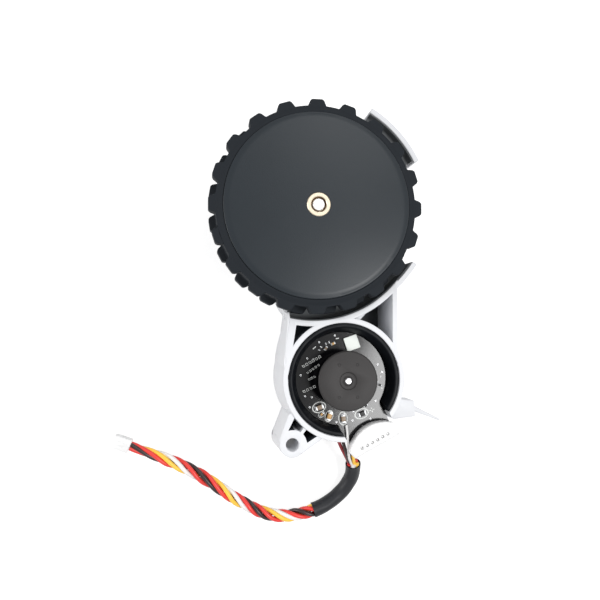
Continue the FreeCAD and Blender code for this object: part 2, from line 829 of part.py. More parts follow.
# Harness
def route_edges(points):
    """Straight runs joined by tangent arcs, each arc as large as its two runs allow."""
    spots = [FreeCAD.Vector(*p) for p in points]
    edges = []
    start = spots[0]
    for i in range(1, len(spots) - 1):
        before = spots[i - 1] - spots[i]
        after = spots[i + 1] - spots[i]
        reach = 0.45 * min(before.Length, after.Length)
        turn = math.pi - before.getAngle(after)
        into = before.normalize()
        out = after.normalize()
        radius = reach / math.tan(turn / 2)
        bisector = (into + out).normalize()
        depth = radius / math.cos(turn / 2) - radius
        entry = spots[i] + into * reach
        leave = spots[i] + out * reach
        middle = spots[i] + bisector * depth
        edges.append(Part.LineSegment(start, entry).toShape())
        edges.append(Part.Arc(entry, middle, leave).toShape())
        start = leave
        print("cord bend", i, "radius", round(radius, 1))
    edges.append(Part.LineSegment(start, spots[-1]).toShape())
    return edges


def stretch(edges, begin, end):
    """The stretch of a path between two distances along it."""
    out = []
    walked = 0.0
    for edge in edges:
        low = max(begin - walked, 0.0)
        high = min(end - walked, edge.Length)
        if high - low > 0.001:
            first = edge.getParameterByLength(low)
            last = edge.getParameterByLength(high)
            out.append(edge.Curve.toShape(first, last))
        walked += edge.Length
    return out


def hose(edges, diameter, name):
    path = Part.Wire(edges)
    start = edges[0].valueAt(edges[0].FirstParameter)
    along = edges[0].tangentAt(edges[0].FirstParameter)
    sides = 12
    side = along.cross(FreeCAD.Vector(0, 0, 1)).normalize() * (diameter / 2)
    rim = []
    for i in range(sides):
        turn = FreeCAD.Rotation(along, 360.0 * (i + 0.5) / sides)
        rim.append(start + turn.multVec(side))
    solid = path.makePipeShell([Part.makePolygon(rim + rim[:1])], True, False)
    section = sides / 2 * math.sin(tau / sides) * (diameter / 2) ** 2
    print(name, "length", round(path.Length, 1), "volume ratio",
          round(solid.Volume / (section * path.Length), 4))
    return solid


def harness_plug():
    """White end housing: a small block with a key rib, on the harness's last direction."""
    tip_x, tip_y, tip_z = cord_route[-1]
    before_x, before_y, before_z = cord_route[-2]
    turn = heading(before_x, before_y, tip_x, tip_y)
    x, y = ray(tip_x, tip_y, turn, plug_l / 2)
    body = box_at(x, y, turn, plug_l, plug_w, 0.3, 0.3 + plug_h)
    rib_x, rib_y = ray(tip_x, tip_y, turn, plug_l * 0.62)
    body = body.fuse(box_at(rib_x, rib_y, turn, plug_l * 0.5, 1.4, 0.3 + plug_h - 0.1, plug_h + 0.8))
    return body.removeSplitter()


def write_parts():
    route = route_edges(cord_route)
    total = sum(edge.Length for edge in route)
    floor = web_top + base_floor_t
    shapes = {
        "gear_housing": wheel_case(),
        "rear_cover": rear_cover(),
        "case_screws": case_screws(),
        "motor_screws": motor_screws(),
        "motor_base": motor_base(),
        "bearing_tube": bearing_tube(),
        "stator_core": stator_core(),
        "stator_windings": stator_windings(),
        "motor_board": motor_board(),
        "board_connector": board_connector(),
        "connector_pins": connector_pins(),
        "driver_chip": board_blocks([(pad_angle, pad_reach, pad_turn)], board_top,
                                    chip_side, chip_side, chip_t),
        "thermal_pad": board_blocks([(pad_angle, pad_reach, pad_turn)], board_top + chip_t,
                                    pad_side, pad_side, pad_t),
        "board_capacitors": board_blocks(capacitor_spots, board_top, *capacitor_size),
        "board_resistors": board_blocks(resistor_spots, board_top, *resistor_size),
        "front_shaft_bush": shaft_bush(chamber_top - 0.3, front_bush_top),
        "rear_shaft_bush": shaft_bush(shaft_bottom - 0.2, rear_bush_top),
        "first_gear_pin": gear_pin(first_x, first_y, first_pin_r),
        "second_gear_pin": gear_pin(second_x, second_y, second_pin_r),
        "tyre": tyre(),
        "wheel_hub": wheel_hub(),
        "hub_insert": hub_insert(),
        "wheel_shaft": wheel_shaft(),
        "shaft_clip": shaft_clip(),
        "output_gear": output_gear(),
        "rotor_can": rotor_can(),
        "magnet_ring": magnet_ring(),
        "rotor_shaft": rotor_shaft(),
        "motor_pinion": motor_pinion(),
        "first_gear": first_gear(),
        "second_gear": second_gear(),
        "wire_leads": hose(stretch(route, 0, sleeve_from), cord_d, "wire_leads"),
        "heat_shrink": hose(stretch(route, sleeve_from, sleeve_to), sleeve_d, "heat_shrink"),
        "wire_harness": hose(stretch(route, sleeve_to, total), cord_d, "wire_harness"),
        "harness_plug": harness_plug(),
    }
    os.makedirs("parts", exist_ok=True)
    for name, shape in shapes.items():
        shape.exportStep("parts/" + name + ".step")
        print(name, len(shape.Solids), "solid", shape.isValid(), round(shape.Volume, 1))
    print("middle module", round(middle_module, 4), "cord", round(total, 1), "floor", floor)


write_parts()
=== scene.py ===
import bpy
import bmesh
import math
from mathutils import Matrix, Vector, noise


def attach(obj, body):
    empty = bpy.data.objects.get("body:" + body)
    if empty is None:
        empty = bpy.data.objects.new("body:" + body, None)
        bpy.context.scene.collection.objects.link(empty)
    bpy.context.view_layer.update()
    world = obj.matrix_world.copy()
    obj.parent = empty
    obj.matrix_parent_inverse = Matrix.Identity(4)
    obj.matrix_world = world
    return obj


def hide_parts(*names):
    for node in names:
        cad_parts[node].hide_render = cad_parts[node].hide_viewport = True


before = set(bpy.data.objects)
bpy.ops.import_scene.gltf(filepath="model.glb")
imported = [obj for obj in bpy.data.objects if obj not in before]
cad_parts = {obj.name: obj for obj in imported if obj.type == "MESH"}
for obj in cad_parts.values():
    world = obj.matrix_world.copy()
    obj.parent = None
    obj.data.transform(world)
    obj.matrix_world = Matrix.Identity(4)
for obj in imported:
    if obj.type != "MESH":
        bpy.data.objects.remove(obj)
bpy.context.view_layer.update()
print("frame loaded, nodes:", len(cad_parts))

# Places that every piece shares, in metres, and the tongue's direction in degrees
place = {
    "wheel": (0.0069, 0.0779),
    "motor": (0.0174, 0.02125),
    "boardTop": 0.016,
    "tongueAngle": -63.0,
}

# Widest angle in degrees between two faces that still shade as one
smooth = {
    "moulded": 40,
    "sleeve": 50,
    "round": 60,
}


# Camera
camera = {
    "at": (-0.02779, 0.03959, 0.21766),
    "right": (0.98848, 0.0, 0.15135),
    "ahead": (0.1511, 0.0410, -0.9877),
    "lens": 36.05,
    "sensor": 36.0,
    "near": 0.01,
    "far": 5.0,
}


def placeCamera():
    ahead = Vector(camera["ahead"]).normalized()
    right = Vector(camera["right"])
    right = (right - ahead * right.dot(ahead)).normalized()
    up = right.cross(ahead)
    data = bpy.data.cameras.new("photoCamera")
    data.lens = camera["lens"]
    data.sensor_width = camera["sensor"]
    data.sensor_fit = 'HORIZONTAL'
    data.clip_start = camera["near"]
    data.clip_end = camera["far"]
    viewer = linked("photoCamera", data)
    turn = Matrix((right, up, -ahead)).transposed().to_4x4()
    viewer.matrix_world = Matrix.Translation(camera["at"]) @ turn
    bpy.context.scene.camera = viewer
    print("camera placed")


# Small helpers for selecting, editing and settling pieces
def linked(name, data):
    piece = bpy.data.objects.new(name, data)
    bpy.context.scene.collection.objects.link(piece)
    return piece


def pickNothing():
    bpy.ops.object.select_all(action='DESELECT')


def only(piece):
    pickNothing()
    piece.select_set(True)
    bpy.context.view_layer.objects.active = piece


def editAll(piece):
    only(piece)
    bpy.ops.object.mode_set(mode='EDIT')
    bpy.ops.mesh.select_all(action='SELECT')


def editDone():
    bpy.ops.object.mode_set(mode='OBJECT')


def settle(piece):
    only(piece)
    bpy.ops.object.transform_apply(location=True, rotation=True, scale=True)


def smoothBy(piece, kind="moulded"):
    only(piece)
    bpy.ops.object.shade_smooth_by_angle(angle=math.radians(smooth[kind]))


def applied(piece, kind, **settings):
    only(piece)
    modifier = piece.modifiers.new(kind.title(), kind)
    for key, value in settings.items():
        setattr(modifier, key, value)
    bpy.ops.object.modifier_apply(modifier=modifier.name)


def dress(piece, finish, body):
    piece.data.materials.clear()
    piece.data.materials.append(finishes[finish])
    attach(piece, body)


def polar(centre, angle, reach, height):
    turn = math.radians(angle)
    across = centre[0] + reach * math.cos(turn)
    return Vector((across, centre[1] + reach * math.sin(turn), height))


# A skin drawn from one ring to the next, each given as its reach and height
def turnedPiece(name, centre, rings, sides):
    pickNothing()
    reach, height = rings[0]
    bpy.ops.mesh.primitive_circle_add(vertices=sides, radius=reach, location=(*centre, height))
    piece = bpy.context.object
    piece.name = name
    editAll(piece)
    for nextReach, nextHeight in rings[1:]:
        rise = (0, 0, nextHeight - height)
        bpy.ops.mesh.extrude_edges_move(TRANSFORM_OT_translate={"value": rise})
        grow = nextReach / reach
        bpy.ops.transform.resize(value=(grow, grow, 1.0), center_override=(*centre, nextHeight))
        reach, height = nextReach, nextHeight
    bpy.ops.mesh.select_all(action='SELECT')
    bpy.ops.mesh.normals_make_consistent(inside=False)
    editDone()
    settle(piece)
    return piece


def block(name, at, size, turn, edge, finish=None):
    pickNothing()
    bpy.ops.mesh.primitive_cube_add(size=1.0, location=at, rotation=(0, 0, math.radians(turn)))
    piece = bpy.context.object
    piece.name = name
    piece.scale = size
    settle(piece)
    applied(piece, 'BEVEL', width=edge, segments=2, limit_method='ANGLE')
    smoothBy(piece)
    if finish:
        piece.data.materials.append(finishes[finish])
    return piece


def ringMark(at, radius, thick, sides, around=6, turn=0.0, size=(1.0, 1.0, 1.0)):
    pickNothing()
    bpy.ops.mesh.primitive_torus_add(location=at, rotation=(0, 0, turn), major_radius=radius,
                                     minor_radius=thick, major_segments=sides,
                                     minor_segments=around)
    mark = bpy.context.object
    mark.scale = size
    settle(mark)
    return mark


def joinAll(name, parts):
    pickNothing()
    for part in parts:
        part.select_set(True)
    bpy.context.view_layer.objects.active = parts[0]
    bpy.ops.object.join()
    piece = bpy.context.view_layer.objects.active
    piece.name = name
    settle(piece)
    return piece


# A skin through rows of points, one quad between each four neighbours
def skinned(name, rows, closed=False):
    form = bmesh.new()
    grid = [[form.verts.new(spot) for spot in row] for row in rows]
    for a, b in zip(grid, grid[1:]):
        for k in range(len(a) if closed else len(a) - 1):
            after = (k + 1) % len(a)
            form.faces.new((a[k], a[after], b[after], b[k]))
    mesh = bpy.data.meshes.new(name)
    form.to_mesh(mesh)
    form.free()
    return linked(name, mesh)


placeCamera()


# What a finish has unless its own line says otherwise
plain = {
    "mottle": 0.06,
    "bump": 0.00002,
    "specular": 0.5,
    "metal": 0.0,
    "glow": 0.0,
    "fineSize": 2200.0,
}

# The same in every finish: grain detail, patch size, and how deep light goes where it glows
grainForm = {
    "fineDetail": 3.0,
    "broadDetail": 4.0,
    "broadSize": 90.0,
    "glowSpread": (1.0, 1.0, 1.0),
    "glowDepth": 0.003,
}


def mathNode(nodes, operation):
    node = nodes.new('ShaderNodeMath')
    node.operation = operation
    return node


# Grain and mottle, one group that every finish uses
def makeGrain():
    group = bpy.data.node_groups.new("mouldedGrain", 'ShaderNodeTree')
    for label, kind in [("Fine Size", 'Float'), ("Broad Size", 'Float'), ("Mottle", 'Float'),
                        ("Tint", 'Color'), ("Rough", 'Float')]:
        group.interface.new_socket(label, in_out='INPUT', socket_type='NodeSocket' + kind)
    for label, kind in [("Colour", 'Color'), ("Height", 'Float'), ("Roughness", 'Float')]:
        group.interface.new_socket(label, in_out='OUTPUT', socket_type='NodeSocket' + kind)
    nodes, links = group.nodes, group.links
    start = nodes.new('NodeGroupInput')
    end = nodes.new('NodeGroupOutput')
    where = nodes.new('ShaderNodeTexCoord')
    fine = nodes.new('ShaderNodeTexNoise')
    fine.inputs["Detail"].default_value = grainForm["fineDetail"]
    broad = nodes.new('ShaderNodeTexNoise')
    broad.inputs["Detail"].default_value = grainForm["broadDetail"]
    links.new(where.outputs["Object"], fine.inputs["Vector"])
    links.new(where.outputs["Object"], broad.inputs["Vector"])
    links.new(start.outputs["Fine Size"], fine.inputs["Scale"])
    links.new(start.outputs["Broad Size"], broad.inputs["Scale"])
    centred = mathNode(nodes, 'SUBTRACT')
    centred.inputs[1].default_value = 0.5
    links.new(broad.outputs["Fac"], centred.inputs[0])
    swing = mathNode(nodes, 'MULTIPLY_ADD')
    swing.inputs[2].default_value = 1.0
    links.new(centred.outputs[0], swing.inputs[0])
    links.new(start.outputs["Mottle"], swing.inputs[1])
    shade = nodes.new('ShaderNodeVectorMath')
    shade.operation = 'SCALE'
    links.new(start.outputs["Tint"], shade.inputs[0])
    links.new(swing.outputs[0], shade.inputs["Scale"])
    rough = mathNode(nodes, 'MULTIPLY')
    links.new(start.outputs["Rough"], rough.inputs[0])
    links.new(swing.outputs[0], rough.inputs[1])
    links.new(shade.outputs[0], end.inputs["Colour"])
    links.new(fine.outputs["Fac"], end.inputs["Height"])
    links.new(rough.outputs[0], end.inputs["Roughness"])
    return group


grain = makeGrain()


def grained(name, colour, rough, **own):
    look = {**plain, **own}
    material = bpy.data.materials.new(name)
    material.use_nodes = True
    nodes, links = material.node_tree.nodes, material.node_tree.links
    shader = nodes["Principled BSDF"]
    shader.inputs["Metallic"].default_value = look["metal"]
    shader.inputs["Specular IOR Level"].default_value = look["specular"]
    shader.inputs["Subsurface Weight"].default_value = look["glow"]
    shader.inputs["Subsurface Radius"].default_value = grainForm["glowSpread"]
    shader.inputs["Subsurface Scale"].default_value = grainForm["glowDepth"]
    effect = nodes.new('ShaderNodeGroup')
    effect.node_tree = grain
    effect.inputs["Fine Size"].default_value = look["fineSize"]
    effect.inputs["Broad Size"].default_value = grainForm["broadSize"]
    effect.inputs["Mottle"].default_value = look["mottle"]
    effect.inputs["Tint"].default_value = (*colour, 1.0)
    effect.inputs["Rough"].default_value = rough
    relief = nodes.new('ShaderNodeBump')
    relief.inputs["Strength"].default_value = 1.0
    relief.inputs["Distance"].default_value = look["bump"]
    links.new(effect.outputs["Colour"], shader.inputs["Base Color"])
    links.new(effect.outputs["Roughness"], shader.inputs["Roughness"])
    links.new(effect.outputs["Height"], relief.inputs["Height"])
    links.new(relief.outputs["Normal"], shader.inputs["Normal"])
    return material


finishes = {
    "case": grained("whiteCasePlastic", (0.75, 0.76, 0.785), 0.45, specular=0.35, mottle=0.03),
    "cover": grained("blackCoverPlastic", (0.03, 0.032, 0.036), 0.5),
    "base": grained("blackRingPlastic", (0.006, 0.007, 0.009), 0.42, specular=0.11,
                    bump=0.00001),
    "cap": grained("slateCapPlastic", (0.011, 0.016, 0.021), 0.36, specular=0.3,
                   fineSize=2600.0, mottle=0.12),
    "tread": grained("treadRubber", (0.014, 0.017, 0.021), 0.7, specular=0.14,
                     fineSize=1500.0, mottle=0.15),
    "brass": grained("turnedBrass", (0.62, 0.54, 0.42), 0.33, metal=1.0, bump=0.000004),
    "steel": grained("brightSteel", (0.72, 0.72, 0.74), 0.28, metal=1.0, bump=0.000004),
    "rotor": grained("platedRotorSteel", (0.034, 0.032, 0.032), 0.5, specular=0.2,
                     metal=0.15, mottle=0.1),
    "lamination": grained("stackedLamination", (0.3, 0.3, 0.31), 0.45, metal=1.0),
    "copper": grained("enamelledCopper", (0.55, 0.2, 0.07), 0.3, metal=0.8),
    "board": grained("blackSolderMask", (0.003, 0.003, 0.004), 0.13, specular=0.28,
                     bump=0.000003),
    "nylon": grained("whiteNylon", (0.88, 0.88, 0.88), 0.4, mottle=0.02, glow=0.8),
    "chip": grained("blackChipResin", (0.014, 0.014, 0.015), 0.55),
    "pad": grained("paleThermalPad", (0.86, 0.9, 0.86), 0.75, mottle=0.05),
    "ceramic": grained("tanCeramic", (0.3, 0.22, 0.15), 0.45),
    "gear": grained("gearAcetal", (0.78, 0.76, 0.7), 0.35),
    "ferrite": grained("sinteredFerrite", (0.04, 0.04, 0.042), 0.6),
    "red": grained("redWireSheath", (0.78, 0.045, 0.035), 0.36, mottle=0.05, bump=0.000006),
    "yellow": grained("yellowWireSheath", (1.0, 0.60, 0.07), 0.36, mottle=0.05,
                      bump=0.000006),
    "darkRed": grained("darkRedWireSheath", (0.30, 0.012, 0.02), 0.36, mottle=0.05,
                       bump=0.000006),
    "white": grained("whiteWireSheath", (0.86, 0.85, 0.84), 0.36, mottle=0.03,
                     bump=0.000006),
    "brown": grained("darkWireSheath", (0.022, 0.008, 0.008), 0.34, mottle=0.05,
                     bump=0.000006),
    "dullPin": grained("paleContact", (0.84, 0.84, 0.84), 0.6, mottle=0.1),
    "silk": grained("whiteSilkInk", (0.8, 0.82, 0.8), 0.6, mottle=0.2, bump=0.000002),
    "solder": grained("tinSolder", (0.6, 0.61, 0.62), 0.4, metal=0.9, mottle=0.2,
                      bump=0.00001),
    # Painted shade for the arch channels: a dark sheet where they fall in shade
    "paintedChannelShade": grained("paintedShadeStrip", (0.13, 0.138, 0.144), 0.9, specular=0.1,
                    fineSize=3000.0, mottle=0.2),
    # Painted shade on the walls and floors of the housing's pockets
    "pocketShade": grained("paintedPocketShade", (0.036, 0.043, 0.052), 0.8, specular=0.15, mottle=0.15),
    # Painted shade in the mouth of the brass ring
    "paintedMouthShade": grained("paintedShadeBrass", (0.10, 0.055, 0.02), 0.5, metal=0.6),
    "amber": grained("amberCeramic", (0.62, 0.36, 0.12), 0.4, mottle=0.2),
    "sleeve": grained("shrunkSleeve", (0.014, 0.015, 0.018), 0.45, specular=0.3,
                      fineSize=1200.0),
}
print("finishes ready:", len(finishes))


# Cord route, the same points as the solid's, in metres
cordRoute = [
    (0.0208, -0.0026, 0.0126),
    (0.0244, -0.0098, 0.0070),
    (0.0226, -0.0190, 0.0025),
    (0.0124, -0.0268, 0.0025),
    (-0.0026, -0.0292, 0.0025),
    (-0.0150, -0.0238, 0.0025),
    (-0.0265, -0.0152, 0.0025),
    (-0.0382, -0.0082, 0.0025),
    (-0.0540, -0.0022, 0.0025),
]

# Wires of the free bundle: the twist is in turns by metres walked along the route,
# and each drift is how much, how fast along, how unlike from wire to wire, and its layer
cord = {
    "routeSmoothness": 24,
    "step": 0.0006,
    "endShare": 0.3,
    "fixedSteps": 14,
    "wires": ["red", "yellow", "white", "red", "brown"],
    "wireRadius": 0.00076,
    "wireRoundness": 3,
    "bundleRadius": 0.00148,
    "startTurn": 0.6,
    "twist": [(0.0, -0.70), (0.0461, 2.007), (0.0657, 3.0), (0.0910, 4.03), (0.1060, 4.6)],
    "turnDrift": (0.35, 90.0, 3.1, 0.0),
    "reachDrift": (0.16, 110.0, 5.7, 2.0),
    "slimFrom": 0.091,
    "slimOver": 0.010,
    "slimBy": 0.42,
    "floorGap": 0.0001,
}

# Separate leads from the board into the sleeve's mouth
boardLeads = {
    "radius": {"darkRed": 0.0006, "brown": 0.0006, "white": 0.00045, "yellow": 0.0006},
    "roundness": 4,
    "paths": [
        ("darkRed", [(0.0167, -0.0002, 0.0142), (0.0176, -0.0022, 0.0130),
                     (0.0200, -0.0062, 0.0106), (0.0228, -0.0110, 0.0068),
                     (0.0233, -0.0150, 0.0047)]),
        ("brown", [(0.0180, 0.0002, 0.0146), (0.0190, -0.0026, 0.0136),
                   (0.0206, -0.0070, 0.0106), (0.0231, -0.0112, 0.0058),
                   (0.0236, -0.0150, 0.0041)]),
        ("white", [(0.0189, 0.0054, 0.0166), (0.0191, 0.0016, 0.0176),
                   (0.0200, -0.0034, 0.0146), (0.0213, -0.0076, 0.0106),
                   (0.0237, -0.0114, 0.0072), (0.0238, -0.0150, 0.0050)]),
        ("brown", [(0.0204, -0.0004, 0.0136), (0.0208, -0.0034, 0.0126),
                   (0.0221, -0.0074, 0.0098), (0.0240, -0.0112, 0.0058),
                   (0.0240, -0.0150, 0.0044)]),
        ("yellow", [(0.0218, -0.0006, 0.0136), (0.0219, -0.0040, 0.0126),
                    (0.0229, -0.0078, 0.0100), (0.0244, -0.0114, 0.0066),
                    (0.0236, -0.0150, 0.0048)]),
    ],
}

# Shrink sleeve over the bundle's first stretch, its ends by metres walked
shrinkSleeve = {
    "start": 0.0085,
    "end": 0.0343,
    "radius": 0.0026,
    "wall": 0.0004,
    "sides": 28,
    "ripple": 0.05,
    "rippleAlong": 7.0,
    "rippleAround": 1.3,
    "flare": 0.05,
    "flareSharpness": 12,
    "floorGap": 0.0001,
}


def lineThrough(name, spots, kind):
    data = bpy.data.curves.new(name, 'CURVE')
    data.dimensions = '3D'
    spline = data.splines.new(kind)
    spline.points.add(len(spots) - 1)
    for point, spot in zip(spline.points, spots):
        point.co = (*spot, 1.0)
    spline.order_u = 3
    spline.use_endpoint_u = True
    return linked(name, data)


def sheathed(line, radius, roundness, finish):
    line.data.bevel_depth = radius
    line.data.bevel_resolution = roundness
    line.data.use_fill_caps = True
    line.data.materials.append(finishes[finish])
    return line


def readRoute():
    guide = lineThrough("cordLine", cordRoute, 'NURBS')
    line = guide.data
    line.resolution_u = cord["routeSmoothness"]
    bpy.context.view_layer.update()
    mesh = bpy.data.meshes.new_from_object(guide)
    spots = [vertex.co.copy() for vertex in mesh.vertices]
    bpy.data.meshes.remove(mesh)
    bpy.data.objects.remove(guide)
    bpy.data.curves.remove(line)
    return spots


def evenly(spots, step):
    out = [spots[0].copy()]
    left = step
    for a, b in zip(spots, spots[1:]):
        run = (b - a).length
        while run >= left and run > 0:
            a = a.lerp(b, left / run)
            out.append(a.copy())
            run = (b - a).length
            left = step
        left -= run
    if (out[-1] - spots[-1]).length > step * cord["endShare"]:
        out.append(spots[-1].copy())
    return out


# At each spot, the two directions across the line, carried along without a twist
def carried(spots):
    frames = []
    side = Vector((0, 0, 1)).cross(spots[1] - spots[0]).normalized()
    for i, spot in enumerate(spots):
        along = (spots[min(i + 1, len(spots) - 1)] - spots[max(i - 1, 0)]).normalized()
        side = (side - along * side.dot(along)).normalized()
        frames.append((spot, side, along.cross(side)))
    return frames


def twistAt(walked):
    for (a, low), (b, high) in zip(cord["twist"], cord["twist"][1:]):
        if walked <= b:
            return low + (high - low) * (walked - a) / (b - a)
    return cord["twist"][-1][1]


def drifted(walked, k, drift):
    amount, pace, spacing, layer = drift
    return amount * noise.noise(Vector((walked * pace, k * spacing, layer)))


def wirePath(k, frames):
    fixed = cord["fixedSteps"]
    path = []
    for i, (spot, side, up) in enumerate(frames[fixed:], fixed):
        walked = i * cord["step"]
        turn = math.tau * (k / len(cord["wires"]) + twistAt(walked)) + cord["startTurn"]
        turn += drifted(walked, k, cord["turnDrift"])
        reach = cord["bundleRadius"] * (1.0 + drifted(walked, k, cord["reachDrift"]))
        slim = min(max((walked - cord["slimFrom"]) / cord["slimOver"], 0.0), 1.0)
        reach *= 1.0 - cord["slimBy"] * slim
        at = spot + (side * math.cos(turn) * reach + up * math.sin(turn) * reach)
        at.z = max(at.z, cord["wireRadius"] + cord["floorGap"])
        path.append(at)
    return path


def meshed(name, curves):
    bpy.context.view_layer.update()
    pickNothing()
    for curve in curves:
        curve.select_set(True)
    bpy.context.view_layer.objects.active = curves[0]
    bpy.ops.object.convert(target='MESH')
    bpy.ops.object.join()
    piece = bpy.context.view_layer.objects.active
    piece.name = name
    smoothBy(piece, "round")
    return piece


def makeLeads():
    leads = []
    for k, (colour, spots) in enumerate(boardLeads["paths"]):
        line = lineThrough("lead%d" % k, spots, 'NURBS')
        leads.append(sheathed(line, boardLeads["radius"][colour], boardLeads["roundness"], colour))
    leadSet = meshed("leadWires", leads)
    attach(leadSet, "case")
    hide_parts("wire_leads")
    print("leads bent:", len(leads))


def makeSleeve(frames):
    start, end = shrinkSleeve["start"], shrinkSleeve["end"]
    rows = []
    for i, (spot, side, up) in enumerate(frames):
        walked = i * cord["step"]
        if walked < start or walked > end:
            continue
        share = (walked - start) / (end - start)
        flare = shrinkSleeve["flare"] * (abs(2 * share - 1) ** shrinkSleeve["flareSharpness"])
        row = []
        for j in range(shrinkSleeve["sides"]):
            turn = math.tau * j / shrinkSleeve["sides"]
            ripple = noise.noise(Vector((share * shrinkSleeve["rippleAlong"],
                                         math.cos(turn) * shrinkSleeve["rippleAround"],
                                         math.sin(turn) * shrinkSleeve["rippleAround"])))
            reach = shrinkSleeve["radius"] * (1.0 + shrinkSleeve["ripple"] * ripple + flare)
            at = spot + (side * math.cos(turn) + up * math.sin(turn)) * reach
            at.z = max(at.z, shrinkSleeve["floorGap"])
            row.append(at)
        rows.append(row)
    sleeve = skinned("shrinkSleeve", rows, closed=True)
    editAll(sleeve)
    bpy.ops.mesh.normals_make_consistent(inside=False)
    editDone()
    applied(sleeve, 'SOLIDIFY', thickness=shrinkSleeve["wall"], offset=-1.0)
    smoothBy(sleeve, "sleeve")
    dress(sleeve, "sleeve", "case")
    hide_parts("heat_shrink")
    return sleeve


def makeCord():
    spots = evenly(readRoute(), cord["step"])
    frames = carried(spots)
    wires = []
    for k, colour in enumerate(cord["wires"]):
        line = lineThrough("wire%d" % k, wirePath(k, frames), 'POLY')
        wires.append(sheathed(line, cord["wireRadius"], cord["wireRoundness"], colour))
    bundle = meshed("wireBundle", wires)
    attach(bundle, "case")
    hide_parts("wire_harness")
    sleeve = makeSleeve(frames)
    line = spots[cord["fixedSteps"]:]


makeLeads()
makeCord()


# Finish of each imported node, also of those that a piece below then stands for
nodeFinishes = {
    "rear_cover": "cover", "case_screws": "steel", "motor_screws": "steel",
    "motor_base": "base", "bearing_tube": "brass", "stator_core": "lamination",
    "stator_windings": "copper", "motor_board": "board", "board_connector": "nylon",
    "connector_pins": "dullPin", "driver_chip": "chip", "thermal_pad": "pad",
    "board_capacitors": "ceramic", "board_resistors": "chip", "front_shaft_bush": "brass",
    "rear_shaft_bush": "brass", "first_gear_pin": "steel", "second_gear_pin": "steel",
    "harness_plug": "nylon", "wheel_shaft": "steel", "shaft_clip": "steel",
    "output_gear": "gear", "first_gear": "gear", "second_gear": "gear",
    "rotor_can": "rotor", "magnet_ring": "ferrite", "rotor_shaft": "steel",
    "motor_pinion": "brass", "hub_insert": "brass",
}

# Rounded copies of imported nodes: node, piece, width of the rounded edge, angle from which
# an edge is rounded, finish, body, slot
roundedCopies = {
    "weld": 0.000002,
    "flatAngle": 0.8,
    "segments": 2,
    "rows": [
        ("gear_housing", "housingShell", 0.00022, 30, "case", "case", "case_white"),
        ("tyre", "treadTyre", 0.00035, 30, "tread", "wheel", "tread_rubber"),
        ("wheel_hub", "hubBody", 0.0002, 40, "cap", "wheel", "wheel_black"),
        ("board_connector", "boardHeader", 0.00025, 30, "nylon", "case", "nylon_white"),
        ("harness_plug", "endPlug", 0.0003, 30, "nylon", "case", "nylon_white"),
        ("motor_base", "cupRing", 0.00025, 30, "base", "case", "base_black"),
        ("thermal_pad", "thermalPad", 0.0002, 30, "pad", "case", "pad_white"),
        ("rotor_can", "rotorCan", 0.00012, 35, "rotor", "rotor", "rotor_grey"),
        ("rear_cover", "backPlate", 0.00018, 30, "cover", "case", "cover_black"),
    ],
}


def dressFrame():
    for node, finish in nodeFinishes.items():
        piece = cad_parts[node]
        piece.data.materials.clear()
        piece.data.materials.append(finishes[finish])
        smoothBy(piece)
    print("nodes dressed:", len(nodeFinishes))


def makeRoundedCopies():
    for node, name, width, sharp, finish, body, slot in roundedCopies["rows"]:
        piece = linked(name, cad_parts[node].data.copy())
        editAll(piece)
        bpy.ops.mesh.remove_doubles(threshold=roundedCopies["weld"])
        bpy.ops.mesh.dissolve_limited(angle_limit=math.radians(roundedCopies["flatAngle"]))
        editDone()
        applied(piece, 'BEVEL', width=width, segments=roundedCopies["segments"],
                limit_method='ANGLE', angle_limit=math.radians(sharp), use_clamp_overlap=False)
        smoothBy(piece)
        dress(piece, finish, body)
        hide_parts(node)
        print(name, "faces:", len(piece.data.polygons))


dressFrame()
makeRoundedCopies()


# Painted shade in the pockets: faces of the housing's copy inside these outlines and below these
# heights take a dark finish
pockets = {
    "neck": [(0.0016, 0.0412), (-0.0006, 0.0292), (0.0090, 0.0360), (0.0128, 0.0406)],
    "earHigh": [(-0.0008, 0.0098), (-0.0028, 0.0022), (0.0004, 0.0048), (0.0062, 0.0085),
                (0.0095, 0.0124), (0.0088, 0.0164)],
    "earLow": [(0.0032, -0.0006), (0.0145, 0.0056), (0.0120, 0.0100), (0.0080, 0.0090),
               (0.0042, 0.0046)],
}
pocketHeights = {
    "walls": 0.0206,
    "floors": 0.0195,
    "floorSlope": 0.5,
}


def insideZone(spot, zone):
    hit = False
    for (ax, ay), (bx, by) in zip(zone, zone[1:] + zone[:1]):
        if (ay > spot.y) != (by > spot.y) and spot.x < (bx - ax) * (spot.y - ay) / (by - ay) + ax:
            hit = not hit
    return hit


def shadePockets():
    shell = bpy.data.objects["housingShell"]
    shell.data.materials.append(finishes["pocketShade"])
    for face in shell.data.polygons:
        spot = face.center
        level = face.normal.z > pocketHeights["floorSlope"]
        if spot.z > pocketHeights["floors" if level else "walls"]:
            continue
        if any(insideZone(spot, zone) for zone in pockets.values()):
            face.material_index = 1
    print("pockets shaded")


shadePockets()


# Cup wall round the motor ring, let down where the board's tongue leaves it
cupWall = {
    "profile": [(0.02172, 0.0004), (0.02130, 0.0090), (0.02075, 0.0207), (0.0206, 0.02096),
                (0.01916, 0.02096), (0.01898, 0.0207), (0.01898, 0.0004)],
    "angles": (158.6, 391.0),
    "steps": 92,
    "gapFloor": 0.0147,
    "gapReach": 0.022,
    "gapSize": (0.016, 0.0172, 0.02),
}

# Right end of the lower arch's wall, opening outwards a little
archEnd = {
    "profile": [(0.03886, 0.0002), (0.03886, 0.0207), (0.0387, 0.02096), (0.03722, 0.02096),
                (0.03703, 0.0207), (0.03703, 0.0002)],
    "angles": (-43.0, -26.0),
    "steps": 14,
    "opening": 0.0012,
    "easing": 1.2,
}


def openOut(spot):
    out = spot - Vector((*place["wheel"], spot.z))
    angle = math.degrees(math.atan2(out.y, out.x))
    start, end = archEnd["angles"]
    share = min(max((angle - start) / (end - start), 0.0), 1.0)
    return spot + out.normalized() * archEnd["opening"] * share ** archEnd["easing"]


